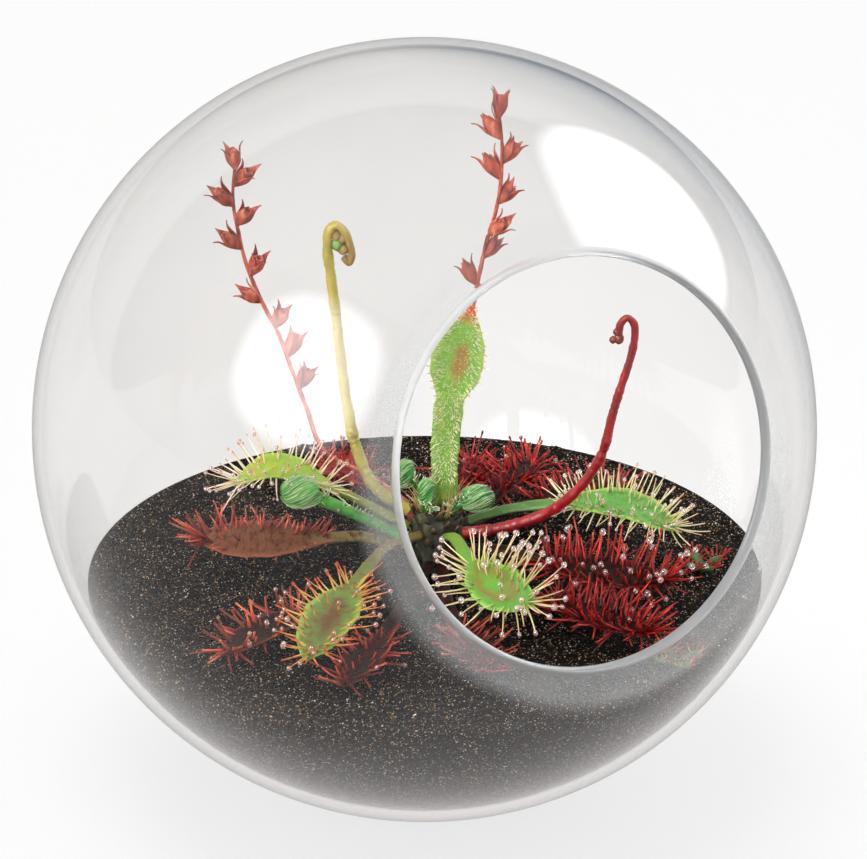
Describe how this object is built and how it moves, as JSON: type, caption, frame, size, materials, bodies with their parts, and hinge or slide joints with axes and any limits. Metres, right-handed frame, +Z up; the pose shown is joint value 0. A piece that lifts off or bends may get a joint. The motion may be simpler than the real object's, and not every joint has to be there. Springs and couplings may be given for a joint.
{
  "type": "glass plant terrarium",
  "caption": "Blown glass globe with a tilted round side mouth and a flat foot, filled with dark soil in which a sundew rosette with flower stalks grows.",
  "frame": {"origin": "centre of the globe's flat foot, on the surface it stands on", "axes": "+Z up; the mouth faces -Y and tilts up 16 degrees; +X is to the right of someone who looks into the mouth"},
  "size_m": [0.12, 0.1177, 0.1165],
  "materials": {
    "clear_glass": "polished",
    "dark_soil": "matte",
    "crown_scales": "matte",
    "green_leaf": "satin",
    "red_leaf": "satin",
    "young_leaf": "satin",
    "dry_stalk": "matte",
    "pale_stalk": "satin",
    "red_stalk": "satin"
  },
  "bodies": {
    "root": {"glass_globe": "clear_glass", "soil": "dark_soil", "crown": "crown_scales", "leaf_left_green": "green_leaf", "leaf_front_left_spoon": "green_leaf", "leaf_front_spoon": "green_leaf", "leaf_right_green": "green_leaf", "leaf_upright": "green_leaf", "leaf_left_red": "red_leaf", "leaf_front_left_dark": "red_leaf", "leaf_front_low": "red_leaf", "leaf_front_middle": "red_leaf", "leaf_right_low": "red_leaf", "leaf_right_red": "red_leaf", "leaf_back_side": "red_leaf", "leaf_back_right": "red_leaf", "leaf_back_middle": "red_leaf", "leaf_back_left": "red_leaf", "leaf_left_furled": "young_leaf", "bud_left": "young_leaf", "bud_middle": "young_leaf", "bud_right": "young_leaf", "stalk_left_pods": "dry_stalk", "stalk_middle_pods": "dry_stalk", "stalk_pale": "pale_stalk", "stalk_red": "red_stalk", "seedling_right": "young_leaf", "seedling_front": "young_leaf"}
  },
  "joints": []
}
